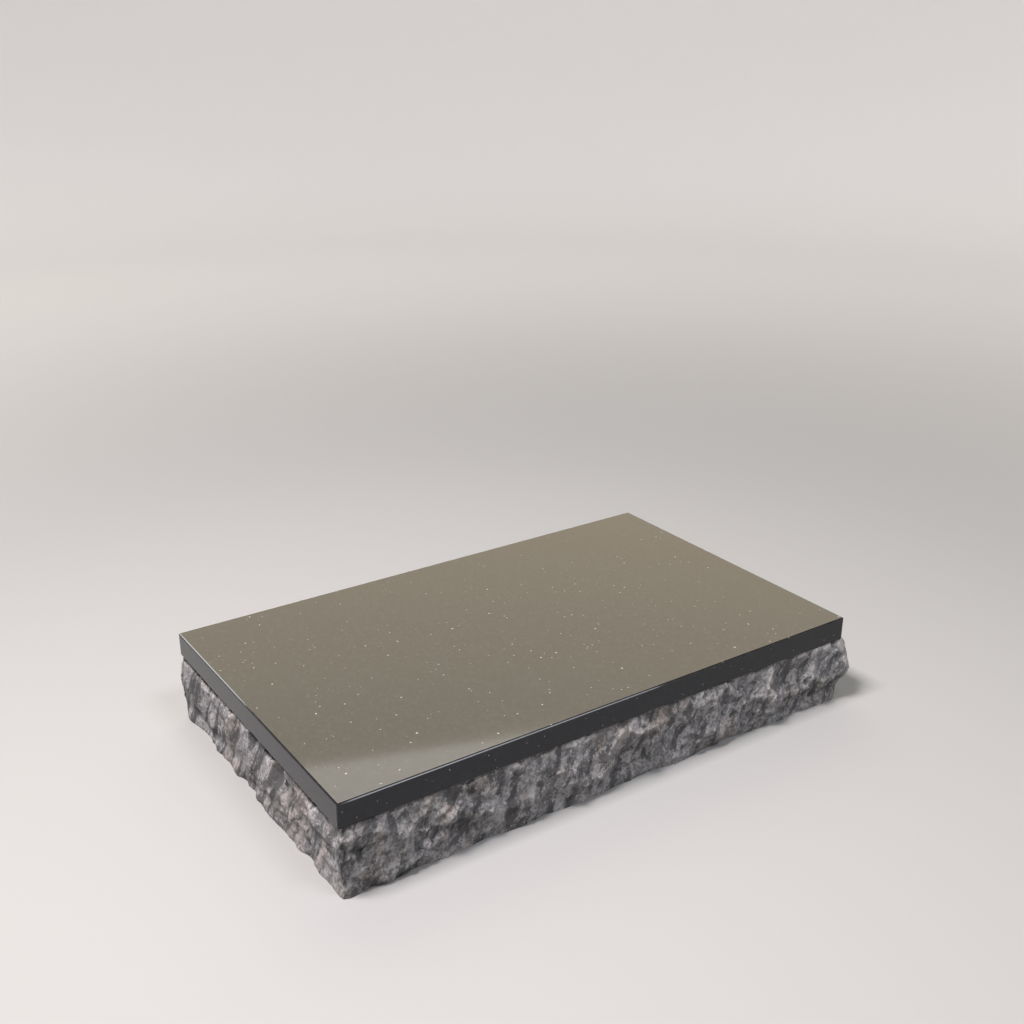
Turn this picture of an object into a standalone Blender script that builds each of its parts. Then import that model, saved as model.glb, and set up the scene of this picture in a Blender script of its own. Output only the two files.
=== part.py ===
"""Flat grave marker that lies on the ground.

A polished slab of black granite lies on a block of banded grey granite. The block's top
and underside are sawn. Its four sides are pitched: stone was split off them with a
chisel, which left shallow scallops with crisp ridges between them. Lengths are in
metres, +Z is up, and the origin is the middle of the block's underside.
"""

import math
import random

import bmesh
import bpy
from mathutils import Vector, noise

COLLECTION = "flat_grave_marker"

# The slab
SLAB_LENGTH = 0.500
SLAB_WIDTH = 0.300
SLAB_THICKNESS = 0.021
SLAB_ARRIS = 0.0012
ARRIS_FACETS = 2

# The block. Its outline stands this far outside the slab's before it is pitched
BLOCK_HEIGHT = 0.060
BLOCK_MARGIN = 0.0010
BLOCK_CORNER = 0.004
JOINT_GAP = 0.0003

# The pitched sides: how far they swell at mid height, and stand back at the foot and head
BELLY = 0.0034
FOOT_SETBACK = 0.0004
HEAD_SETBACK = 0.0002
CORNER_FAN = 0.040

# The scallops that cover the sides, each a little wider than it is high, and the
# smaller chips along the two sawn edges
SCALLOP_SPACING = 0.022
SCALLOP_ROWS = 4
SCALLOP_REACH = (0.010, 0.026)
SCALLOP_SQUAT = (0.6, 0.9)
SCALLOP_DEPTH = (0.0014, 0.0040)
SCALLOP_LEAN = 0.12
EDGE_CHIP_SPACING = 0.024
EDGE_CHIP_REACH = (0.005, 0.012)
EDGE_CHIP_DEPTH = (0.0012, 0.0030)
SEED = 11

# Broken stone: a slow wave in the sides and a finer roughness
WAVE_SIZE = 0.075
WAVE_HEIGHT = 0.0016
ROUGH_SIZE = 0.016
ROUGH_HEIGHT = 0.0013

# The wall's mesh
CELL_WIDTH = 0.0046
CELL_ROWS = 11
CELL_JITTER = 0.28

# The hollows that show most: side, place along it from -1 to 1 in the way that X or Y
# grows, share of the height, reach along, reach up, depth. The front faces -Y and the
# left side -X
HOLLOWS = (
    ("front", -0.355, 0.55, 0.016, 0.020, 0.0040),
    ("front", -0.530, 0.10, 0.036, 0.013, 0.0062),
    ("front", 0.628, 0.72, 0.012, 0.015, 0.0040),
    ("front", 0.800, 0.57, 0.016, 0.010, 0.0042),
    ("front", 0.780, 0.18, 0.032, 0.012, 0.0068),
    ("front", 0.940, 0.33, 0.009, 0.008, 0.0040),
    ("front", 0.240, 0.52, 0.012, 0.018, 0.0036),
    ("front", -0.895, 0.00, 0.012, 0.008, 0.0045),
    ("front", 0.450, 0.02, 0.040, 0.010, 0.0050),
    ("left", 0.640, 1.00, 0.017, 0.008, 0.0034),
    ("left", -0.480, 1.00, 0.012, 0.007, 0.0034),
    ("left", 0.700, 0.12, 0.020, 0.014, 0.0052),
    ("left", 0.050, 0.06, 0.012, 0.012, 0.0054),
    ("left", -0.620, 0.10, 0.011, 0.016, 0.0054),
)

# Where the sides swell most: side, place along it, share of the height, reach, how far
SWELLS = (
    ("right", -0.900, 0.82, 0.034, 0.0072),
    ("right", -0.850, 0.25, 0.034, 0.0020),
    ("left", 0.940, 0.60, 0.034, 0.0030),
    ("left", -0.300, 0.12, 0.030, 0.0034),
    ("back", 0.300, 0.60, 0.050, 0.0030),
)

# Colour, roughness and metallic value of each stone
FINISHES = {
    "polished_slab": ((0.018, 0.018, 0.021, 1.0), 0.06, 0.0),
    "pitched_block": ((0.270, 0.250, 0.240, 1.0), 0.85, 0.0),
}

BLOCK_LENGTH = SLAB_LENGTH + 2 * BLOCK_MARGIN
BLOCK_WIDTH = SLAB_WIDTH + 2 * BLOCK_MARGIN
SLAB_BOTTOM = BLOCK_HEIGHT + JOINT_GAP

# Each side: the middle of its foot, and the direction along it, anticlockwise from above
SIDES = {
    "front": (Vector((0, -BLOCK_WIDTH / 2, 0)), Vector((1, 0, 0)), BLOCK_LENGTH),
    "right": (Vector((BLOCK_LENGTH / 2, 0, 0)), Vector((0, 1, 0)), BLOCK_WIDTH),
    "back": (Vector((0, BLOCK_WIDTH / 2, 0)), Vector((-1, 0, 0)), BLOCK_LENGTH),
    "left": (Vector((-BLOCK_LENGTH / 2, 0, 0)), Vector((0, -1, 0)), BLOCK_WIDTH),
}


def clear_scene():
    for obj in list(bpy.data.objects):
        bpy.data.objects.remove(obj, do_unlink=True)


def stone_material(name):
    """A plain stone material with this piece's colour, roughness and metallic value."""
    colour, roughness, metallic = FINISHES[name]
    material = bpy.data.materials.new(name)
    material.use_nodes = True
    surface = material.node_tree.nodes["Principled BSDF"]
    surface.inputs["Base Color"].default_value = colour
    surface.inputs["Roughness"].default_value = roughness
    surface.inputs["Metallic"].default_value = metallic
    material.diffuse_color = colour
    return material


def add_piece(bm, name, collection):
    """Turns a finished bmesh into a named object with its own material."""
    mesh = bpy.data.meshes.new(name)
    bm.to_mesh(mesh)
    bm.free()
    mesh.materials.append(stone_material(name))
    piece = bpy.data.objects.new(name, mesh)
    collection.objects.link(piece)
    return piece


def make_slab(collection):
    """The polished slab: a sawn plate whose edges all have the same narrow arris."""
    bm = bmesh.new()
    bmesh.ops.create_cube(bm, size=1.0)
    bmesh.ops.scale(bm, vec=(SLAB_LENGTH, SLAB_WIDTH, SLAB_THICKNESS), verts=bm.verts)
    slab = add_piece(bm, "polished_slab", collection)
    slab.location.z = SLAB_BOTTOM + SLAB_THICKNESS / 2
    arris = slab.modifiers.new("arris", "BEVEL")
    arris.width = SLAB_ARRIS
    arris.segments = ARRIS_FACETS
    return slab


def outline_length():
    """The way round the block's plain outline, whose corners are arcs."""
    straight = 2 * (BLOCK_LENGTH + BLOCK_WIDTH) - 8 * BLOCK_CORNER
    return straight + 2 * math.pi * BLOCK_CORNER


def outline_point(distance):
    """The point this far round the plain outline, from where the front side starts."""
    arc = math.pi / 2 * BLOCK_CORNER
    for middle, along, length in SIDES.values():
        run = length - 2 * BLOCK_CORNER
        if distance <= run:
            return middle + along * (distance - run / 2)
        distance -= run
        if distance <= arc:
            inward = Vector((-along.y, along.x, 0))
            centre = middle + along * (run / 2) + inward * BLOCK_CORNER
            angle = distance / BLOCK_CORNER
            reach = along * math.sin(angle) - inward * math.cos(angle)
            return centre + reach * BLOCK_CORNER
        distance -= arc
    return outline_point(distance)


def way_out(point):
    """The level direction in which a point of the wall moves: square to its side, and
    fanned out near a corner so that moved points never cross."""
    core = Vector((
        max(min(point.x, BLOCK_LENGTH / 2 - CORNER_FAN), CORNER_FAN - BLOCK_LENGTH / 2),
        max(min(point.y, BLOCK_WIDTH / 2 - CORNER_FAN), CORNER_FAN - BLOCK_WIDTH / 2),
        point.z,
    ))
    return (point - core).normalized()


def on_side(side, along, height_share):
    """The point at this place along a side and this share of the block's height."""
    middle, direction, length = SIDES[side]
    if side in ("left", "back"):
        along = -along
    return middle + direction * (along * length / 2) + Vector((0, 0, height_share * BLOCK_HEIGHT))


def scallops():
    """Every hollow in the sides, as its middle, its reach along and up, its depth and
    the slopes at its middle."""
    found = [
        (on_side(side, along, share), reach_along, reach_up, depth, 0.0, 0.0)
        for side, along, share, reach_along, reach_up, depth in HOLLOWS
    ]
    chance = random.Random(SEED)
    way_round = outline_length()
    columns = round(way_round / SCALLOP_SPACING)
    for row in range(SCALLOP_ROWS):
        for column in range(columns):
            distance = (column + chance.random()) * way_round / columns
            middle = outline_point(distance)
            middle.z = (row + chance.random()) * BLOCK_HEIGHT / SCALLOP_ROWS
            reach = chance.uniform(*SCALLOP_REACH)
            depth = chance.uniform(*SCALLOP_DEPTH)
            leans = [chance.uniform(-SCALLOP_LEAN, SCALLOP_LEAN) for _ in range(2)]
            found.append((middle, reach, reach * chance.uniform(*SCALLOP_SQUAT), depth, *leans))
    edge_chips = round(way_round / EDGE_CHIP_SPACING)
    for height in (0.0, BLOCK_HEIGHT):
        for column in range(edge_chips):
            middle = outline_point((column + chance.random()) * way_round / edge_chips)
            middle.z = height
            reach = chance.uniform(*EDGE_CHIP_REACH)
            depth = chance.uniform(*EDGE_CHIP_DEPTH)
            found.append((middle, reach, reach, depth, 0.0, 0.0))
    return found


def profile(height):
    """How far the wall's plain upright profile stands out at this height."""
    share = height / BLOCK_HEIGHT
    foot = FOOT_SETBACK * (1 - share) ** 3
    head = HEAD_SETBACK * share ** 6
    return BELLY * (1 - (2 * share - 1) ** 2) - foot - head


def stand_out(point, hollows):
    """How far a point of the plain wall moves out. Each hollow is a shallow bowl, and
    where bowls meet, the deeper one wins, which leaves a crisp ridge."""
    deepest = 0.0
    for middle, reach_along, reach_up, depth, lean_along, lean_up in hollows:
        level = math.hypot(point.x - middle.x, point.y - middle.y)
        rise = point.z - middle.z
        if level > 2 * reach_along or abs(rise) > 2 * reach_up:
            continue
        away = (level / reach_along) ** 2 + (rise / reach_up) ** 2
        slope = lean_along * (point.x - middle.x + point.y - middle.y) + lean_up * rise
        deepest = min(deepest, depth * (away - 1) + slope)
    swell = 0.0
    for side, along, share, reach, height in SWELLS:
        away = (point - on_side(side, along, share)).length / reach
        swell += height * math.exp(-away * away)
    wave = noise.noise(point / WAVE_SIZE) * WAVE_HEIGHT
    rough = noise.fractal(point / ROUGH_SIZE, 1.0, 2.0, 3) * ROUGH_HEIGHT
    return profile(point.z) + swell + deepest + wave + rough


def make_block(collection):
    """The block: a grid is bent round the outline, moved out to the broken surface and
    closed by the flat sawn top and underside."""
    way_round = outline_length()
    columns = round(way_round / CELL_WIDTH)
    chance = random.Random(SEED)
    hollows = scallops()
    bm = bmesh.new()
    bmesh.ops.create_grid(bm, x_segments=columns, y_segments=CELL_ROWS, size=0.5)
    for vert in bm.verts:
        column_share = vert.co.x + 0.5
        row_share = vert.co.y + 0.5
        inside_row = 0.5 / CELL_ROWS < row_share < 1 - 0.5 / CELL_ROWS
        if 0.5 / columns < column_share < 1 - 0.5 / columns:
            column_share += chance.uniform(-CELL_JITTER, CELL_JITTER) / columns
            if inside_row:
                row_share += chance.uniform(-CELL_JITTER, CELL_JITTER) / CELL_ROWS
        plain = outline_point(column_share * way_round)
        plain.z = row_share * BLOCK_HEIGHT
        vert.co = plain + way_out(plain) * stand_out(plain, hollows)
    bmesh.ops.remove_doubles(bm, verts=bm.verts, dist=CELL_WIDTH / 100)
    rims = [edge for edge in bm.edges if edge.is_boundary]
    caps = bmesh.ops.holes_fill(bm, edges=rims)["faces"]
    bmesh.ops.triangulate(bm, faces=caps)
    bmesh.ops.recalc_face_normals(bm, faces=bm.faces)
    return add_piece(bm, "pitched_block", collection)


def main():
    clear_scene()
    collection = bpy.data.collections.new(COLLECTION)
    bpy.context.scene.collection.children.link(collection)
    make_slab(collection)
    make_block(collection)


main()
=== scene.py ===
# %% [markdown]
# # A flat grave marker
#
# The real object is two stones glued together: a slab of polished black granite, and under
# it a block of grey banded granite whose four sides were split off with a chisel. Nothing
# moves. The work is all in the two surfaces, because one is as smooth as glass and the
# other is broken, and each needs its own way of being made.
#
# The sizes come from the packed model, which is loaded first and stays where it is. Its
# box is kept, so that the finished marker can be compared with it at the end.

# %% Load the packed model and keep its box
import math

import bmesh
import bpy
from mathutils import Matrix, Vector


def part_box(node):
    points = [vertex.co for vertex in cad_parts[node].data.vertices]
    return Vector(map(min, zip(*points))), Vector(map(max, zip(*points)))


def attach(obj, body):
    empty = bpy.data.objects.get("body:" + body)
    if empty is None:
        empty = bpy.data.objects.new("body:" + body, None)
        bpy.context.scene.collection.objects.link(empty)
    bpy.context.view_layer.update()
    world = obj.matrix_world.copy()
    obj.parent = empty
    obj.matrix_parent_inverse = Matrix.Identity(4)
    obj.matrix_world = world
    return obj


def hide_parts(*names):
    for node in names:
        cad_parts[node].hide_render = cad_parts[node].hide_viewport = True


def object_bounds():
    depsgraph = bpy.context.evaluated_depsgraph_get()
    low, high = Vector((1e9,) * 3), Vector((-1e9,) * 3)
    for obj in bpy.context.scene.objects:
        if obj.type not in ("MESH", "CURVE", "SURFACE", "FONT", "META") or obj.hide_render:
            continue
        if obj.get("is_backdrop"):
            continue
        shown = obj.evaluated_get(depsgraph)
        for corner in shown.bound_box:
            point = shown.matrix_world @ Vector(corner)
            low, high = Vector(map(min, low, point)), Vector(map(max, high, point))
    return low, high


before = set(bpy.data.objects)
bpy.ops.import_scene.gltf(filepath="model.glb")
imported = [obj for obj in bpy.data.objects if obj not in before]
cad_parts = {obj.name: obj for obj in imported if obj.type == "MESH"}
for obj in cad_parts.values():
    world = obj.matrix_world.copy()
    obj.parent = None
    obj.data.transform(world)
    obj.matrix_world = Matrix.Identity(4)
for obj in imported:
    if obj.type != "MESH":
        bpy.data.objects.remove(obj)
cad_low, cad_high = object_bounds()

SLAB_LOW, SLAB_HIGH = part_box("polished_slab")
BLOCK_LOW, BLOCK_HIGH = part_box("pitched_block")
print("slab", [round(1000 * side, 1) for side in SLAB_HIGH - SLAB_LOW], "mm")
print("block", [round(1000 * side, 1) for side in BLOCK_HIGH - BLOCK_LOW], "mm")

# %% [markdown]
# ## The camera
#
# The slab's straight edges fix the view: their vanishing points give the lens, and the
# slab's own length gives the distance. The camera stands left of the marker's front edge
# and looks down on it. A camera's own axes are a rotation matrix's columns: right, up and
# the way back. Writing the matrix out is plainer than turning Euler angles into a heading
# and a tilt.

# %% Place the camera
CAMERA_PLACE = Vector((-0.5479, -0.7910, 0.5776))
CAMERA_HEADING = math.radians(33.88)
CAMERA_TILT = math.radians(22.04)
LENS = 43.35
SENSOR = 36.0
SIDEWAYS_SHIFT = 0.0122

across = Vector((math.cos(CAMERA_HEADING), -math.sin(CAMERA_HEADING), 0))
ahead = Vector((
    math.sin(CAMERA_HEADING) * math.cos(CAMERA_TILT),
    math.cos(CAMERA_HEADING) * math.cos(CAMERA_TILT),
    -math.sin(CAMERA_TILT),
))
camera = bpy.data.objects.new("camera", bpy.data.cameras.new("camera"))
camera.data.sensor_width = SENSOR
camera.data.lens = LENS
camera.data.shift_x = SIDEWAYS_SHIFT
camera.matrix_world = (
    Matrix.Translation(CAMERA_PLACE)
    @ Matrix((across, across.cross(ahead), -ahead)).transposed().to_4x4()
)
bpy.context.scene.collection.objects.link(camera)
bpy.context.scene.camera = camera
print("camera", round(CAMERA_PLACE.length, 3), "m from the marker's foot")

# %% [markdown]
# ## Sums in node trees
#
# Both the materials and the relief are worked out by nodes. A tree of a hundred Math nodes
# is hard to read, so a small class wraps a socket and overloads Python's operators: an
# expression such as `1 - mask * 0.5` then adds its own Math nodes. The four sums have a
# second, reflected form each, for when a plain number stands first.

# %% A socket that can be added, multiplied and compared
class Signal:
    """One number that varies over a surface."""

    def __init__(self, tree, socket):
        self.tree = tree
        self.socket = socket

    def worked(self, operation, *values):
        made = self.tree.node("ShaderNodeMath", {"operation": operation}, dict(enumerate(values)))
        return Signal(self.tree, made.outputs[0])

    def __add__(self, other):
        return self.worked("ADD", self, other)

    def __radd__(self, other):
        return self.worked("ADD", other, self)

    def __sub__(self, other):
        return self.worked("SUBTRACT", self, other)

    def __rsub__(self, other):
        return self.worked("SUBTRACT", other, self)

    def __mul__(self, other):
        return self.worked("MULTIPLY", self, other)

    def __rmul__(self, other):
        return self.worked("MULTIPLY", other, self)

    def __truediv__(self, other):
        return self.worked("DIVIDE", self, other)

    def __rtruediv__(self, other):
        return self.worked("DIVIDE", other, self)

    def __pow__(self, other):
        return self.worked("POWER", self, other)

    def __lt__(self, other):
        return self.worked("LESS_THAN", self, other)

    def at_most(self, other):
        return self.worked("MINIMUM", self, other)

    def at_least(self, other):
        return self.worked("MAXIMUM", self, other)

    def size(self):
        return self.worked("ABSOLUTE", self)

    def between(self, low, high):
        """0 below low, 1 above high, and a soft step in between."""
        made = self.tree.node(
            "ShaderNodeMapRange", {"interpolation_type": "SMOOTHSTEP"},
            {"Value": self, "From Min": low, "From Max": high},
        )
        return Signal(self.tree, made.outputs["Result"])


print("a signal also knows", [name for name in vars(Signal) if not name.startswith("_")])

# %% [markdown]
# ## One way to add a node
#
# Every node that isn't a sum comes from one method, which takes the node's kind, its
# settings and what feeds its sockets. The settings come first, because they decide which
# sockets a node has. Noise and random cells are used for everything in stone, so they have
# short names too, and their sizes are in metres.

# %% A node tree with one way to add a node
HALF = (0.5, 0.5, 0.5)


class Tree:
    """A material's or a modifier's nodes."""

    def __init__(self, nodes):
        self.nodes = nodes

    def feed(self, socket, value):
        """Links a signal, a socket or a node's first output, or sets a plain value."""
        value = getattr(value, "socket", value)
        if isinstance(value, bpy.types.Node):
            value = value.outputs[0]
        if isinstance(value, bpy.types.NodeSocket):
            self.nodes.links.new(value, socket)
        else:
            socket.default_value = value

    def node(self, kind, settings=None, sockets=None):
        made = self.nodes.nodes.new(kind)
        for name, value in (settings or {}).items():
            setattr(made, name, value)
        for name, value in (sockets or {}).items():
            self.feed(made.inputs[name], value)
        return made

    def signal(self, made, output=0):
        return Signal(self, made.outputs[output])

    def vector(self, operation, *values):
        """Vector Math on vectors, such as ADD, MULTIPLY or NORMALIZE."""
        return self.node(
            "ShaderNodeVectorMath", {"operation": operation}, dict(enumerate(values)),
        )

    def along(self, place, direction):
        """How far a place lies along a direction."""
        return self.signal(self.vector("DOT_PRODUCT", place, direction), "Value")

    def scaled(self, place, factor):
        made = self.vector("SCALE", place)
        self.feed(made.inputs["Scale"], factor)
        return made

    def parts(self, place):
        """A place's X, Y and Z."""
        made = self.node("ShaderNodeSeparateXYZ", {}, {0: place})
        return [self.signal(made, output) for output in range(3)]

    def channels(self, colour):
        """A colour's red, green and blue."""
        made = self.node("ShaderNodeSeparateColor", {}, {0: colour})
        return [self.signal(made, output) for output in range(3)]

    def noise(self, place, size, detail=2.0, roughness=0.5, seed=0.0):
        """Soft noise, about 0.5, whose lumps are this many metres across."""
        return self.signal(self.node(
            "ShaderNodeTexNoise", {"noise_dimensions": "4D"},
            {"Vector": place, "W": seed, "Scale": 1 / size, "Detail": detail,
             "Roughness": roughness},
        ))

    def away(self, place, size, detail=1.0, seed=None):
        """A direction that noise turns this way and that, each part a half at most."""
        settings, sockets = {}, {"Vector": place, "Scale": 1 / size, "Detail": detail}
        if seed is not None:  # A seed is the place in a fourth dimension
            settings["noise_dimensions"] = "4D"
            sockets["W"] = seed
        noise = self.node("ShaderNodeTexNoise", settings, sockets)
        return self.vector("SUBTRACT", noise.outputs["Color"], HALF)

    def pushed(self, place, direction, reach):
        """A place moved along a direction."""
        return self.vector("ADD", place, self.scaled(direction, reach))

    def cells(self, place, size, shift):
        """Random cells this many metres across, another set for each shift.

        The node's Distance is the way to the nearest cell's middle in cell sizes, its Color
        is random in each cell and its Position is that middle."""
        moved = self.vector("ADD", self.scaled(place, 1 / size), shift)
        return moved, self.node("ShaderNodeTexVoronoi", {}, {"Vector": moved, "Scale": 1.0})

    def attribute(self, name):
        """A number that the relief stored on the mesh."""
        return self.signal(self.node("ShaderNodeAttribute", {"attribute_name": name}), "Fac")

    def blend(self, factor, first, second):
        """Colours mixed by a factor."""
        made = self.node(
            "ShaderNodeMix", {"data_type": "RGBA"}, {0: factor, 6: first, 7: second},
        )
        return made.outputs[2]


print("a tree knows", [name for name in vars(Tree) if not name.startswith("_")])

# %% [markdown]
# ## An empty material
#
# Both stones and the floor start from the same bare material: a Principled surface linked
# to the output. The surface is handed back, so that each finish feeds its own sockets.

# %% Start a material
def new_material(name):
    """An empty material, its tree, and its Principled surface linked to the output."""
    material = bpy.data.materials.new(name)
    material.use_nodes = True
    material.node_tree.nodes.clear()
    tree = Tree(material.node_tree)
    surface = tree.node("ShaderNodeBsdfPrincipled")
    output = tree.node("ShaderNodeOutputMaterial", {}, {"Surface": surface})
    output.is_active_output = True
    return material, tree, surface


def object_place(tree):
    """Each point's place in metres, which the patterns of a stone are laid out in."""
    return tree.node("ShaderNodeTexCoord").outputs["Object"]


print("materials so far", len(bpy.data.materials))

# %% [markdown]
# ## The block's walls
#
# The packed block already has the large scallops. Only its four walls are broken further,
# so a copy of it is opened: the sawn top and underside come off now, and flat faces close
# it again once the walls are finished. The copy's doubled points are merged first, or the
# relief would tear the walls along them.

# %% Copy the block and keep only its walls
RIM_TOLERANCE = 0.00005
MERGE_DISTANCE = 0.00002


def is_sawn(face):
    """Whether a face belongs to the flat sawn top or underside."""
    heights = [vert.co.z for vert in face.verts]
    at_foot = max(heights) < BLOCK_LOW.z + RIM_TOLERANCE
    return at_foot or min(heights) > BLOCK_HIGH.z - RIM_TOLERANCE


wall = bmesh.new()
wall.from_mesh(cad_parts["pitched_block"].data)
bmesh.ops.remove_doubles(wall, verts=wall.verts, dist=MERGE_DISTANCE)
bmesh.ops.delete(wall, geom=[face for face in wall.faces if is_sawn(face)], context="FACES")
block_mesh = bpy.data.meshes.new("pitched_block_walls")
wall.to_mesh(block_mesh)
wall.free()
block = bpy.data.objects.new("pitched_granite_block", block_mesh)
bpy.context.scene.collection.objects.link(block)
print("walls", len(block_mesh.polygons), "faces")

# %% [markdown]
# ## What the relief can be told
#
# A chisel splits granite off in scallops, shallow bowls that meet in crisp ridges. Each
# bowl is itself torn into tilted facets and small spalls. Geometry Nodes suit that, because
# one tree can lay breakage of any size over a surface, and its sizes and depths are named
# inputs. All of them are in metres, apart from the shares, which say how much of the
# relief is left at the foot, under the rim, at the corners and on the calmer left side.

# %% List the relief's inputs
RELIEF_INPUTS = {
    "Cuts": ("NodeSocketInt", 2),
    "Scallop Size": ("NodeSocketFloat", 0.0270),
    "Scallop Depth": ("NodeSocketFloat", 0.0095),
    "Facet Size": ("NodeSocketFloat", 0.0120),
    "Facet Depth": ("NodeSocketFloat", 0.0042),
    "Spall Size": ("NodeSocketFloat", 0.0058),
    "Spall Depth": ("NodeSocketFloat", 0.0015),
    "Patch Size": ("NodeSocketFloat", 0.0500),
    "Warp Size": ("NodeSocketFloat", 0.0120),
    "Warp Reach": ("NodeSocketFloat", 0.0080),
    "Rim Height": ("NodeSocketFloat", 0.0040),
    "Calm Height": ("NodeSocketFloat", 0.0140),
    "Rim Share": ("NodeSocketFloat", 0.35),
    "Foot Share": ("NodeSocketFloat", 0.15),
    "Corner Share": ("NodeSocketFloat", 0.40),
    "Corner Reach": ("NodeSocketFloat", 0.0250),
    "Chip Size": ("NodeSocketFloat", 0.0180),
    "Chip Height": ("NodeSocketFloat", 0.0090),
    "Chip Depth": ("NodeSocketFloat", 0.0040),
    "Nibble Height": ("NodeSocketFloat", 0.0030),
    "Nibble Depth": ("NodeSocketFloat", 0.0010),
    "Left Share": ("NodeSocketFloat", 0.48),
    "Left Chips": ("NodeSocketFloat", 0.0050),
    "Left Recess": ("NodeSocketFloat", 0.0020),
    "Half Length": ("NodeSocketFloat", BLOCK_HIGH.x),
    "Half Width": ("NodeSocketFloat", BLOCK_HIGH.y),
    "Block Height": ("NodeSocketFloat", BLOCK_HIGH.z),
    "Seed": ("NodeSocketFloat", 4.0),
}
print("relief inputs", len(RELIEF_INPUTS))

# %% [markdown]
# ## Bowls, facets and spalls
#
# The squared distance to the nearest of many random points is exactly a field of bowls,
# round at the bottom and sharp where two meet, and a Voronoi texture gives that distance.
# A flat facet is simpler still: the way from a cell's middle, measured along a direction
# that is random in each cell. The places are first pushed about by noise, or the cells
# would look like bubbles. Patches of soft noise decide where the small breakage is strong.

# %% Work out the breakage
MEAN_BOWL = 0.44
SCALLOP_LAYER, FACET_LAYER, SPALL_LAYER = 1.0, 2.3, 3.7
WARP_DETAIL = 2.0
PATCH_DETAIL = 1.0
TORN_STEP = (0.38, 0.62)
LEAST_TORN = 0.25


def bowls(tree, place, size, depth, shift):
    """A field of bowls: how far they raise the surface, which is 0 on average."""
    distance = tree.signal(tree.cells(place, size, shift)[1])
    return (distance * distance - MEAN_BOWL) * depth


def facets(tree, place, size, depth, shift):
    """A field of flat facets, each tilted its own way about its own middle."""
    moved, cell = tree.cells(place, size, shift)
    tilt = tree.vector("SUBTRACT", cell.outputs["Color"], HALF)
    return tree.along(tree.vector("SUBTRACT", moved, cell.outputs["Position"]), tilt) * depth


def breakage(tree, given, place):
    """How far the broken stone stands out, before anything holds it back."""
    seed = given["Seed"]
    turned = tree.away(place, given["Warp Size"], WARP_DETAIL, seed)
    warped = tree.pushed(place, turned, given["Warp Reach"])
    patches = tree.noise(place, given["Patch Size"], PATCH_DETAIL, seed=seed)
    small = facets(tree, warped, given["Facet Size"], given["Facet Depth"], seed * FACET_LAYER)
    small += bowls(tree, warped, given["Spall Size"], given["Spall Depth"], seed * SPALL_LAYER)
    small *= patches.between(*TORN_STEP) * (1 - LEAST_TORN) + LEAST_TORN
    return small + bowls(
        tree, warped, given["Scallop Size"], given["Scallop Depth"], seed * SCALLOP_LAYER,
    )


print("sizes of breakage", [
    f"{1000 * RELIEF_INPUTS[name][1]:.0f} mm"
    for name in ("Scallop Size", "Facet Size", "Spall Size")
])

# %% [markdown]
# ## Calmer edges, and chips under the slab
#
# A mason works gently near the edges, so the relief is held back at the foot, under the rim
# and at the corners. The left side came off cleaner and is smoother than the others. Right
# under the slab small chips have sprung off the rim: they are what leaves the dark gaps
# between the two stones, which are largest on the left.

# %% Hold the relief back and cut the chips
LEFT_STEP = (0.3, 0.8)
CHIP_SEED = 5.0
CHIP_DETAIL, CHIP_ROUGHNESS = 2.0, 0.6
CHIP_STEP = (0.54, 0.66)
LEFT_LUCK = 0.05
FULL_CHIP = 0.1


def measured(tree, given, place, normal):
    """How high a point lies, how far from the rim and the nearest corner, and whether it
    is on the left side."""
    along, sideways, height = tree.parts(place)
    from_end = given["Half Length"] - along.size()
    return {
        "height": height,
        "from_top": given["Block Height"] - height,
        "from_corner": from_end.at_least(given["Half Width"] - sideways.size()),
        "on_left": tree.along(normal, (-1.0, 0.0, 0.0)).between(*LEFT_STEP),
    }


def held_back(given, relief, at):
    """The relief times a share for each place where it is calmer."""
    for share, reach in (
        ("Foot Share", at["height"] / given["Calm Height"]),
        ("Rim Share", at["from_top"] / given["Calm Height"]),
        ("Corner Share", at["from_corner"] / given["Corner Reach"]),
        ("Left Share", 1 - at["on_left"]),
    ):
        relief *= given[share] + (1 - given[share]) * reach.between(0.0, 1.0)
    return relief


def cut_back(tree, given, place, at):
    """How deep the chips, the nibbled rim and the left side's recess cut in."""
    on_left = at["on_left"]
    chance = tree.noise(
        place, given["Chip Size"], CHIP_DETAIL, CHIP_ROUGHNESS, given["Seed"] + CHIP_SEED,
    )
    under_rim = 1 - (at["from_top"] / given["Chip Height"]).between(FULL_CHIP, 1.0)
    chips = (chance + on_left * LEFT_LUCK).between(*CHIP_STEP) * under_rim
    nibbled = 1 - (at["from_top"] / given["Nibble Height"]).between(0.0, 1.0)
    above_foot = (at["height"] / given["Calm Height"]).between(0.0, 1.0)
    return (
        chips * (given["Chip Depth"] + given["Left Chips"] * on_left)
        + nibbled * given["Nibble Depth"]
        + on_left * given["Left Recess"] * above_foot
    )


chip, more_on_left = (1000 * RELIEF_INPUTS[name][1] for name in ("Chip Depth", "Left Chips"))
print("chips up to", round(chip, 1), "mm deep, on the left", round(chip + more_on_left, 1))

# %% [markdown]
# ## The tree that breaks the surface
#
# The walls are subdivided, and every point moves along its own normal. Near the sawn top
# and underside it moves only sideways, so those two planes stay flat while their edges
# become chipped. The tree also stores two numbers on the mesh, both from the angle between
# neighbouring faces: blurred a little it finds the sharp ridges and creases, and blurred
# widely the broad ledges. The material reads them: ridges and ledges are painted paler,
# partly as crushed stone and partly as a painted highlight, and hollows and creases darker,
# as painted shade.

# %% Build the relief tree
STORED_ANGLES = {"ridge": 1, "ledge": 8}


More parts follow.
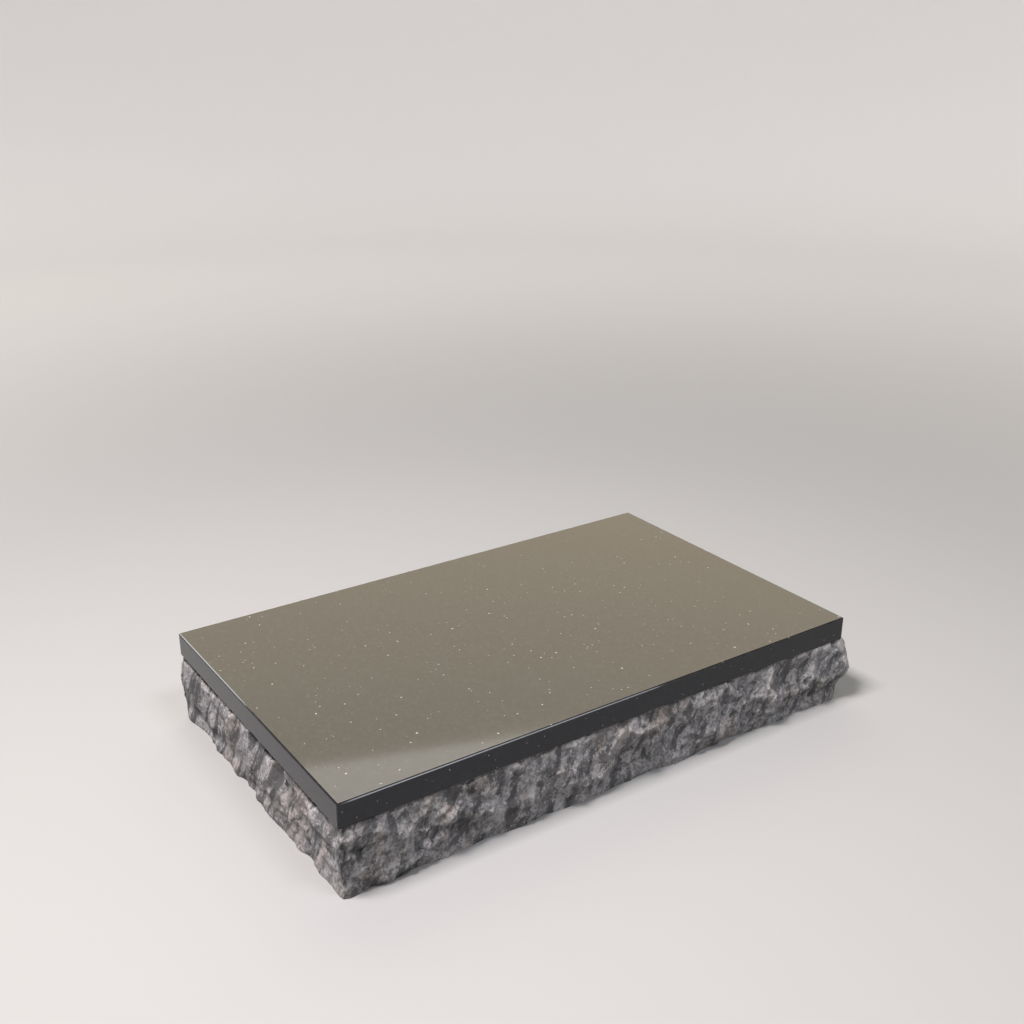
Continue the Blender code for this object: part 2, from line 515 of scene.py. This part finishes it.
def declare(group):
    """Gives the tree its inputs and its output."""
    def add(name, way, kind):
        return group.interface.new_socket(name, in_out=way, socket_type=kind)

    add("Geometry", "INPUT", "NodeSocketGeometry")
    for name, (kind, value) in RELIEF_INPUTS.items():
        add(name, "INPUT", kind).default_value = value
    add("Stone", "INPUT", "NodeSocketMaterial")
    add("Geometry", "OUTPUT", "NodeSocketGeometry")


def way_out(tree, given, normal, at):
    """The way each point moves: along its normal, but level near the top and the foot."""
    lift = (at["height"].at_most(at["from_top"]) / given["Rim Height"]).between(0.0, 1.0)
    level = tree.node("ShaderNodeCombineXYZ", {}, {0: 1.0, 1: 1.0, 2: lift})
    return tree.vector("NORMALIZE", tree.vector("MULTIPLY", normal, level))


def store_angles(tree, mesh):
    """Stores each point's signed edge angle, blurred over few and over many points."""
    angle = tree.node("GeometryNodeInputMeshEdgeAngle").outputs["Signed Angle"]
    for name, blurs in STORED_ANGLES.items():
        blurred = tree.node(
            "GeometryNodeBlurAttribute", {"data_type": "FLOAT"}, {0: angle, "Iterations": blurs},
        )
        mesh = tree.node(
            "GeometryNodeStoreNamedAttribute", {"data_type": "FLOAT", "domain": "POINT"},
            {"Geometry": mesh, "Name": name, "Value": blurred},
        )
    return mesh


def relief_tree():
    """The modifier's tree, which turns plain walls into broken stone."""
    group = bpy.data.node_groups.new("broken_stone", "GeometryNodeTree")
    declare(group)
    tree = Tree(group)
    inputs = tree.node("NodeGroupInput")
    given = {name: tree.signal(inputs, name) for name in (*RELIEF_INPUTS, "Geometry", "Stone")}
    place = tree.node("GeometryNodeInputPosition").outputs[0]
    normal = tree.node("GeometryNodeInputNormal").outputs[0]
    at = measured(tree, given, place, normal)
    relief = held_back(given, breakage(tree, given, place), at)
    relief -= cut_back(tree, given, place, at)
    fine = tree.node(
        "GeometryNodeSubdivideMesh", {}, {"Mesh": given["Geometry"], "Level": given["Cuts"]},
    )
    moved = tree.node("GeometryNodeSetPosition", {}, {
        "Geometry": fine, "Offset": tree.scaled(way_out(tree, given, normal, at), relief),
    })
    plain = tree.node(
        "GeometryNodeRealizeInstances", {}, {"Geometry": store_angles(tree, moved)},
    )
    finished = tree.node(
        "GeometryNodeSetMaterial", {}, {"Geometry": plain, "Material": given["Stone"]},
    )
    tree.node("NodeGroupOutput", {}, {"Geometry": finished})
    return group


broken_stone = relief_tree()
print("relief tree", len(broken_stone.nodes), "nodes")

# %% [markdown]
# ## The directions of the banding
#
# This granite is foliated: its dark mica lies in flat lenses, all squeezed into one
# direction while the rock formed. A cut across them shows streaks, which lean one way on
# the front and another way on the left, because it is one solid pattern that both sides
# cut through. So the pattern is laid out in the block's own space, along three directions:
# across the lenses, and two within them. Noise that is squeezed across the lenses and
# stretched along them draws the streaks on every side at once.

# %% Find the three directions
ACROSS_LENSES = Vector((0.645, -0.675, -0.360)).normalized()
ALONG_LENSES = ACROSS_LENSES.cross(Vector((1, 0, 0))).normalized()
IN_LENSES = ACROSS_LENSES.cross(ALONG_LENSES)
LENS_FLATNESS = 4.5
LENS_STRETCH = 0.42
LENS_NARROWING = 2.9
front_lean = math.degrees(math.atan2(-ACROSS_LENSES.z, ACROSS_LENSES.x))
print("the bands lean", round(front_lean), "degrees from upright on the front")

# %% [markdown]
# ## Fold the pattern
#
# The rock was folded as well as squeezed: its bands sway, more so towards the marker's
# right end. Pushing the places about by soft noise, before the pattern is laid out in
# them, bends every band the same way and keeps the pattern solid.

# %% Lay out the folded pattern
FOLD_SIZE = 0.045
FOLD_LEAST = 0.012
FOLD_MOST = 0.032
FOLD_GROWTH = 0.200


def squeezed(tree, place):
    """Places along the three directions of the banding, after folding."""
    along = tree.parts(place)[0]
    growth = along.between(-FOLD_GROWTH, FOLD_GROWTH)
    reach = growth * (FOLD_MOST - FOLD_LEAST) + FOLD_LEAST
    folded = tree.pushed(place, tree.away(place, FOLD_SIZE), reach)
    return tree.node("ShaderNodeCombineXYZ", {}, {
        0: tree.along(folded, ACROSS_LENSES) * LENS_FLATNESS,
        1: tree.along(folded, ALONG_LENSES) * LENS_STRETCH,
        2: tree.along(folded, IN_LENSES) * LENS_NARROWING,
    })


print("bands sway by up to", round(500 * FOLD_MOST), "mm")

# %% [markdown]
# ## Banded granite
#
# Three minerals make the colour: pale feldspar, grey quartz and black mica. Fine grain mixes
# the first two, with a rosy tone in some places. The mica gathers in the lenses and is
# strewn between them as specks.

# %% List the minerals and their noises
PALE_GRAIN = (0.192, 0.192, 0.204, 1)
GREY_GRAIN = (0.084, 0.083, 0.089, 1)
ROSE_PALE = (0.207, 0.182, 0.171, 1)
ROSE_GREY = (0.099, 0.085, 0.079, 1)
# The mica's own dark colour, also painted into hollows and creases as shade
MICA_AND_SHADE = (0.024, 0.025, 0.029, 1)
# Crushed pale stone, also painted on ridges and ledges as a highlight
BRUISE_AND_HIGHLIGHT = (0.270, 0.260, 0.250, 1)

# Size in metres, detail, roughness and seed: in the squeezed places first, then in plain ones
LENSES = (0.040, 2.0, 0.5, 1.0)
FINE_LENSES = (0.013, 2.0, 0.5, 5.0)
STRIPES = (0.026, 2.0, 0.5, 9.0)
ROSY_TONE = (0.070, 2.0, 0.5, 8.0)
FIBRES = (0.0070, 2.0, 0.6, 2.0)
GRAIN = (0.0026, 2.0, 0.65, 3.0)
SPECK = (0.0014, 2.0, 0.6, 6.0)

print("minerals from", MICA_AND_SHADE[:3], "to", BRUISE_AND_HIGHLIGHT[:3])

# %% [markdown]
# ## Mix the minerals
#
# Each step of the mixture is one noise, or a sum of a few, put through a soft step. Adding
# fine noise to coarse before the step is what gives a lens its ragged, grainy edge.

# %% Mix the minerals
ROSE_STEP, ROSE_MOST = (0.48, 0.66), 0.75
PALE_STEP, GRAIN_PART, FIBRE_PART, STRIPE_PART = (0.40, 0.60), 0.75, 0.25, 0.50
DARK_STEP, DARK_MOST = (0.70, 0.81), 0.85
FINE_LENS_PART, RAGGED_PART = 0.40, 0.30
SPECK_STEP, SPECK_MOST = (0.58, 0.70), 0.58
SPECKS_NEAR_LENSES = 0.40


def minerals(tree, place):
    """The unbroken stone's colour, and how dark, speckled and grainy each place is."""
    banded = squeezed(tree, place)
    lenses, fine_lenses, stripes, tone, fibres = (
        tree.noise(banded, *kind) for kind in (LENSES, FINE_LENSES, STRIPES, ROSY_TONE, FIBRES)
    )
    grain, speck = (tree.noise(place, *kind) for kind in (GRAIN, SPECK))
    rose = tone.between(*ROSE_STEP) * ROSE_MOST
    pale = tree.blend(rose, PALE_GRAIN, ROSE_PALE)
    grey = tree.blend(rose, GREY_GRAIN, ROSE_GREY)
    mixed = grain * GRAIN_PART + fibres * FIBRE_PART + (stripes - 0.5) * STRIPE_PART
    colour = tree.blend(mixed.between(*PALE_STEP), grey, pale)
    dark = lenses + fine_lenses * FINE_LENS_PART + (speck - 0.5) * RAGGED_PART
    dark = dark.between(*DARK_STEP)
    specks = (speck + (lenses - 0.5) * SPECKS_NEAR_LENSES).between(*SPECK_STEP)
    colour = tree.blend(dark * DARK_MOST, colour, MICA_AND_SHADE)
    colour = tree.blend(specks * SPECK_MOST, colour, MICA_AND_SHADE)
    return colour, dark, specks, grain, speck


print("at most", round(100 * DARK_MOST), "% mica in the lenses")

# %% [markdown]
# ## Bruises, painted highlights and painted shade
#
# A chisel crushes the grains that it meets, and crushed granite is nearly white. So the
# stored angles are read again here: the sharp ridges and the broad ledges are paler, less
# so where mica lies, partly as bruising and partly as a painted highlight. The hollows and
# creases are darkened towards the mica's colour, which is painted shade.

# %% Bruise and highlight the ridges, paint shade into the creases
# Where each stored angle counts as raised (painted paler) or sunken (painted shade), and how much
# it then shows
RAISED_BRUISE_AND_HIGHLIGHT = {"ledge": ((0.03, 0.13), 0.32), "ridge": ((0.10, 0.45), 0.40)}
SUNKEN_PAINTED_SHADE = {"ledge": ((-0.12, -0.02), 0.45), "ridge": ((-0.40, -0.08), 0.50)}
HIDDEN_BY_MICA = 0.5


def bruise_highlight_and_shade(tree, colour, dark):
    """The colour, made paler on ledges and ridges (bruising and painted highlight) and darker in
    hollows and creases (painted shade).
    """
    for name in ("ledge", "ridge"):
        angle = tree.attribute(name)
        # Painted highlight, partly bruising: ridges and ledges blend towards the pale colour
        step, most = RAISED_BRUISE_AND_HIGHLIGHT[name]
        pale = angle.between(*step) * (1 - dark * HIDDEN_BY_MICA) * most
        colour = tree.blend(pale, colour, BRUISE_AND_HIGHLIGHT)
        # Painted shade: hollows and creases blend towards the mica's dark colour
        step, most = SUNKEN_PAINTED_SHADE[name]
        colour = tree.blend((1 - angle.between(*step)) * most, colour, MICA_AND_SHADE)
    return colour


print("bruised places", RAISED_BRUISE_AND_HIGHLIGHT, "and creases", SUNKEN_PAINTED_SHADE)

# %% [markdown]
# ## Put the banded granite together
#
# Broken granite is rough all over, a little less so where the mica's flakes glint. A fine
# bump of grain and specks feeds the normal, since single grains are far smaller than the
# mesh's faces.

# %% Make the banded granite
STONE_ROUGHNESS, MICA_GLINT, GRAIN_DULLNESS = 0.78, 0.25, 0.15
BUMP_STRENGTH, BUMP_HEIGHT = 0.4, 0.0006
GRAIN_BUMP, SPECK_BUMP = 0.6, 0.4


def banded_granite():
    material, tree, surface = new_material("banded_granite")
    colour, dark, specks, grain, speck = minerals(tree, object_place(tree))
    tree.feed(surface.inputs["Base Color"], bruise_highlight_and_shade(tree, colour, dark))
    roughness = STONE_ROUGHNESS - specks * MICA_GLINT + grain * GRAIN_DULLNESS
    tree.feed(surface.inputs["Roughness"], roughness)
    bump = tree.node("ShaderNodeBump", {}, {
        "Strength": BUMP_STRENGTH, "Distance": BUMP_HEIGHT,
        "Height": grain * GRAIN_BUMP + speck * SPECK_BUMP,
    })
    tree.feed(surface.inputs["Normal"], bump)
    return material


grey_stone = banded_granite()
print("banded granite", len(grey_stone.node_tree.nodes), "nodes")

# %% [markdown]
# ## Break the walls and close the block
#
# The modifier's inputs are set by their sockets' identifiers, and the evaluated object is
# made a plain mesh. Then the two open rims are filled with flat faces, the sawn top and
# underside.

# %% Break the walls and close the block
def apply_relief(piece, material):
    """Replaces a piece's mesh by the result of the relief tree."""
    modifier = piece.modifiers.new("relief", "NODES")
    modifier.node_group = broken_stone
    for socket in broken_stone.interface.items_tree:
        if socket.in_out == "INPUT" and socket.name in RELIEF_INPUTS:
            modifier[socket.identifier] = RELIEF_INPUTS[socket.name][1]
        elif socket.name == "Stone":
            modifier[socket.identifier] = material
    evaluated = piece.evaluated_get(bpy.context.evaluated_depsgraph_get())
    piece.data = bpy.data.meshes.new_from_object(evaluated)
    piece.modifiers.remove(modifier)


def close_rims(piece):
    """Fills the open rims, and shades the broken walls smooth and the sawn faces flat."""
    shell = bmesh.new()
    shell.from_mesh(piece.data)
    for face in shell.faces:
        face.smooth = True
    rims = [edge for edge in shell.edges if edge.is_boundary]
    caps = bmesh.ops.holes_fill(shell, edges=rims)["faces"]
    for face in caps:
        face.smooth = False
        for edge in face.edges:
            edge.smooth = False
    bmesh.ops.triangulate(shell, faces=caps)
    bmesh.ops.recalc_face_normals(shell, faces=shell.faces)
    shell.to_mesh(piece.data)
    shell.free()


apply_relief(block, grey_stone)
close_rims(block)
print("broken block", len(block.data.polygons), "faces")

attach(block, "root")
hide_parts("pitched_block")

# %% [markdown]
# ## Flecks in black granite
#
# Polished black stone has nearly no colour of its own. Its marks are pale flecks of
# feldspar a millimetre or two across, scattered unevenly. Each fleck is a ball around the
# middle of one cell of a Voronoi texture, which noise pushes out of round. The cell's
# random colour decides everything about its fleck: whether it is there at all, how large
# it is and how pale.

# %% Scatter the flecks
FLECK_WOBBLE = 1 / 700
LEAST_FLECK = 0.3
FLECK_EDGE = (0.75, 1.0)


def flecks(tree, place, cell_size, reach, share, shift):
    """Balls of this reach, in metres, in this share of the cells, and how pale each is."""
    ragged = tree.pushed(place, tree.away(place, FLECK_WOBBLE), reach)
    cell = tree.cells(ragged, cell_size, (shift, shift, shift))[1]
    luck, largeness, paleness = tree.channels(cell.outputs["Color"])
    size = largeness * (1 - LEAST_FLECK) + LEAST_FLECK
    distance = tree.signal(cell) * cell_size / (size * reach)
    return (1 - distance.between(*FLECK_EDGE)) * (luck < share), paleness


LARGE_FLECKS = {"cell_size": 0.0085, "reach": 0.0010, "share": 0.40, "shift": 4.0}
SMALL_FLECKS = {"cell_size": 0.0055, "reach": 0.0007, "share": 0.45, "shift": 7.0}
print("large flecks about", round(1000 * LARGE_FLECKS["cell_size"], 1), "mm apart")

# %% [markdown]
# ## Polished black granite
#
# What is seen in a polished stone is the room, more strongly the flatter one looks, and the
# surface's index of refraction does that by itself. Under the polish lies a faint mosaic of
# crystals, some slightly less black than others. The sheen is a touch cool, and a flat pale
# fleck takes the polish less well than the rest, so it is a little rougher.

# %% Make the black granite
BLACK = (0.0030, 0.0030, 0.0038, 1)
SOOT = (0.0080, 0.0080, 0.0095, 1)
CREAM = (0.52, 0.47, 0.36, 1)
ASH = (0.22, 0.21, 0.20, 1)
COOL_SHEEN = (0.90, 0.92, 1.0, 1)
CRYSTAL_SIZE = 0.0024
CRYSTAL_SHIFT = (1.0, 1.0, 1.0)
MOSTLY_BLACK = 3
SMALL_PALENESS = 0.60
LEAST_PALENESS, MORE_PALENESS = 0.06, 0.42
POLISH, HAZINESS, FLECK_ROUGHNESS = 0.045, 0.02, 0.10
HAZE = (0.040, 3.0, 0.6, 2.0)
STONE_IOR = 1.46


def black_granite():
    material, tree, surface = new_material("polished_black_granite")
    place = object_place(tree)
    crystals = tree.cells(place, CRYSTAL_SIZE, CRYSTAL_SHIFT)[1]
    shade = tree.channels(crystals.outputs["Color"])[1]
    colour = tree.blend(shade ** MOSTLY_BLACK, BLACK, SOOT)
    large, large_tone = flecks(tree, place, **LARGE_FLECKS)
    small, _ = flecks(tree, place, **SMALL_FLECKS)
    colour = tree.blend(small * SMALL_PALENESS, colour, ASH)
    colour = tree.blend(large * (large_tone * MORE_PALENESS + LEAST_PALENESS), colour, CREAM)
    tree.feed(surface.inputs["Base Color"], colour)
    haze = tree.noise(place, *HAZE)
    roughness = POLISH + haze * HAZINESS + large * FLECK_ROUGHNESS
    tree.feed(surface.inputs["Roughness"], roughness)
    surface.inputs["IOR"].default_value = STONE_IOR
    surface.inputs["Specular Tint"].default_value = COOL_SHEEN
    return material


black_stone = black_granite()
print("black granite", len(black_stone.node_tree.nodes), "nodes")

# %% [markdown]
# ## The polished slab
#
# The slab is a box with a narrow arris, where a mason's pad takes the sharpness off every
# edge. On black stone the arris is what the eye reads as the edge: it shows a thin dark
# line and a thin light one. It has two flat facets, as the packed model has. Along the
# front, the upper one mirrors the dark sky overhead and the lower one a light near the
# floor. On the left, the upper one catches a small light behind the marker.

# %% Make the slab
ARRIS = 0.0012
ARRIS_FACETS = 2


def make_slab(material):
    shell = bmesh.new()
    bmesh.ops.create_cube(shell, size=1.0)
    bmesh.ops.scale(shell, vec=SLAB_HIGH - SLAB_LOW, verts=shell.verts)
    bmesh.ops.translate(shell, vec=(SLAB_HIGH + SLAB_LOW) / 2, verts=shell.verts)
    mesh = bpy.data.meshes.new("polished_granite_slab")
    shell.to_mesh(mesh)
    shell.free()
    mesh.materials.append(material)
    piece = bpy.data.objects.new("polished_granite_slab", mesh)
    bpy.context.scene.collection.objects.link(piece)
    arris = piece.modifiers.new("arris", "BEVEL")
    arris.width = ARRIS
    arris.segments = ARRIS_FACETS
    return piece


slab = make_slab(black_stone)
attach(slab, "root")
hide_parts("polished_slab")
print("slab", len(slab.data.polygons), "faces before its arris")

# %% [markdown]
# ## The floor
#
# The floor is plain and pale. It is a round sheet whose rim curves up like a studio's paper
# roll, so that no horizon is seen from any side. The paint is darker near the marker, where
# the light is strongest, and paler far out, which evens the floor out in the picture.

# %% Lay the floor
FLAT_REACH = 2.4
RIM_RADIUS = 1.5
RIM_TURN = math.radians(85)
RIM_STEPS = 12
FLOOR_SIDES = 96
NEAR_COLOUR = (0.194, 0.198, 0.201, 1)
FAR_COLOUR = (0.85, 0.85, 0.85, 1)
FAR_STEP = (0.6, 3.4)


def floor_material():
    material, tree, surface = new_material("floor")
    reach = tree.signal(tree.vector("LENGTH", object_place(tree)), "Value")
    colour = tree.blend(reach.between(*FAR_STEP), NEAR_COLOUR, FAR_COLOUR)
    tree.feed(surface.inputs["Base Color"], colour)
    surface.inputs["Roughness"].default_value = 1.0
    surface.inputs["Specular IOR Level"].default_value = 0.0
    return material


def make_floor():
    """The profile of the floor, spun round the upright axis."""
    profile = [(0.0, 0.0), (FLAT_REACH, 0.0)]
    for step in range(1, RIM_STEPS + 1):
        turn = RIM_TURN * step / RIM_STEPS
        profile.append(
            (FLAT_REACH + RIM_RADIUS * math.sin(turn), RIM_RADIUS * (1 - math.cos(turn))),
        )
    sheet = bmesh.new()
    verts = [sheet.verts.new((reach, 0.0, height)) for reach, height in profile]
    edges = [sheet.edges.new(pair) for pair in zip(verts, verts[1:])]
    bmesh.ops.spin(
        sheet, geom=verts + edges, cent=(0, 0, 0), axis=(0, 0, 1),
        angle=2 * math.pi, steps=FLOOR_SIDES, use_merge=True,
    )
    bmesh.ops.remove_doubles(sheet, verts=sheet.verts, dist=MERGE_DISTANCE)
    for face in sheet.faces:
        face.smooth = True
    mesh = bpy.data.meshes.new("floor")
    sheet.to_mesh(mesh)
    sheet.free()
    mesh.materials.append(floor_material())
    floor = bpy.data.objects.new("floor", mesh)
    bpy.context.scene.collection.objects.link(floor)
    return floor


make_floor()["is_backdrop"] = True
print("floor", len(bpy.data.meshes["floor"].polygons), "faces")

# %% [markdown]
# ## The sky
#
# A polished slab shows whatever is above it, so the sky is chosen for what it puts in the
# stone as much as for what it throws on the block. It is a plain dim grey, with one broad
# warm glow just where the slab mirrors it towards the camera, paler higher up. That glow is
# the olive brown of the polished top. It lies behind the marker, so it hardly reaches the
# two sides that are seen.

# %% Light the sky
def facing(heading, rise):
    """A direction from its heading, in degrees from +Y towards +X, and its rise."""
    heading, rise = math.radians(heading), math.radians(rise)
    return Vector((
        math.sin(heading) * math.cos(rise), math.cos(heading) * math.cos(rise), math.sin(rise),
    ))


SKY_LOW = (0.28, 0.28, 0.285, 1)
SKY_HIGH = (0.20, 0.20, 0.21, 1)
SKY_STEP = (0.0, 0.8)
GLOW_LOW = (1.86, 1.57, 1.12, 1)
GLOW_HIGH = (2.76, 2.44, 1.82, 1)
GLOW_WAY = facing(34, 28)
GLOW_RISE = [math.sin(math.radians(rise)) for rise in (18, 36)]
GLOW_WIDTH = [math.cos(math.radians(turn)) for turn in (42, 20)]


def make_sky():
    """A grey sky, with a broad warm glow where the slab mirrors it towards the camera."""
    world = bpy.data.worlds.new("sky")
    bpy.context.scene.world = world
    world.use_nodes = True
    world.node_tree.nodes.clear()
    tree = Tree(world.node_tree)
    way = tree.node("ShaderNodeTexCoord").outputs["Generated"]
    rise = tree.parts(way)[2]
    grey = tree.blend(rise.between(*SKY_STEP), SKY_LOW, SKY_HIGH)
    glow = tree.blend(rise.between(*GLOW_RISE), GLOW_LOW, GLOW_HIGH)
    near = tree.along(way, GLOW_WAY).between(*GLOW_WIDTH)
    sky = tree.node("ShaderNodeBackground", {}, {"Color": tree.blend(near, grey, glow)})
    tree.node("ShaderNodeOutputWorld", {}, {"Surface": sky})


make_sky()
print("the glow is mirrored from", [round(part, 2) for part in GLOW_WAY])

# %% [markdown]
# ## The panels
#
# Five soft panels do the rest. The back panel's lower edge shows in the slab as the pale
# corner nearest the viewer. The left and the top panel light the two sides that are seen,
# the left one steeply, so that the slab's overhang shades the chips under it. The last two
# light nothing much: the low panel is the light line mirrored in the front arris, and the
# glint panel the white line along the far half of the left one. The camera never sees a
# panel itself, only what it lights and its mirror image.

# %% Hang the panels
def make_panel(name, way, distance, size, radiance, colour, spread=180):
    """A soft rectangular light that faces the marker, with this radiance in its middle.

    A spread under 180 degrees gathers a light's power, so the light needs less of it."""
    half_spread = math.radians(spread / 2)
    gathered = math.tan(half_spread) / (math.tan(half_spread) - half_spread)
    light = bpy.data.lights.new(name, "AREA")
    light.shape = "RECTANGLE"
    light.size, light.size_y = size
    light.spread = 2 * half_spread
    light.energy = radiance * math.pi * size[0] * size[1] / gathered
    light.color = colour
    panel = bpy.data.objects.new(name, light)
    panel.location = way * distance
    panel.rotation_euler = (-way).to_track_quat("-Z", "Y").to_euler()
    panel.visible_camera = False
    bpy.context.scene.collection.objects.link(panel)
    return panel


make_panel(
    "back_panel", facing(18.4, 48.1), distance=2.35, size=(1.5, 0.9),
    radiance=1.90, colour=(1.0, 0.99, 0.92),
)
make_panel(
    "left_panel", facing(-97, 66), distance=2.0, size=(0.6, 0.4),
    radiance=158.0, colour=(1.0, 0.92, 0.89),
)
make_panel(
    "top_panel", facing(172, 62), distance=2.2, size=(0.6, 0.4),
    radiance=34.5, colour=(0.97, 0.97, 1.0),
)
make_panel(
    "low_panel", facing(156, 6.2), distance=2.2, size=(0.8, 0.24),
    radiance=9.0, colour=(0.98, 0.99, 1.0), spread=60,
)
make_panel(
    "glint_panel", facing(-15.8, 32.6), distance=2.5, size=(0.20, 0.25),
    radiance=9.0, colour=(1.0, 0.99, 0.95), spread=60,
)
bpy.context.scene.view_settings.view_transform = "Standard"

# %% [markdown]
# ## Compare the sizes and finish
#
# How far the finished marker's box reaches past the packed model's is printed, to show
# whether the looks have changed the object's size.

# %% Print how far the box grew and finish
low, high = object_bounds()
grown = (*(cad_low - low), *(high - cad_high))
print("grown by", [round(1000 * length, 2) for length in grown], "mm")
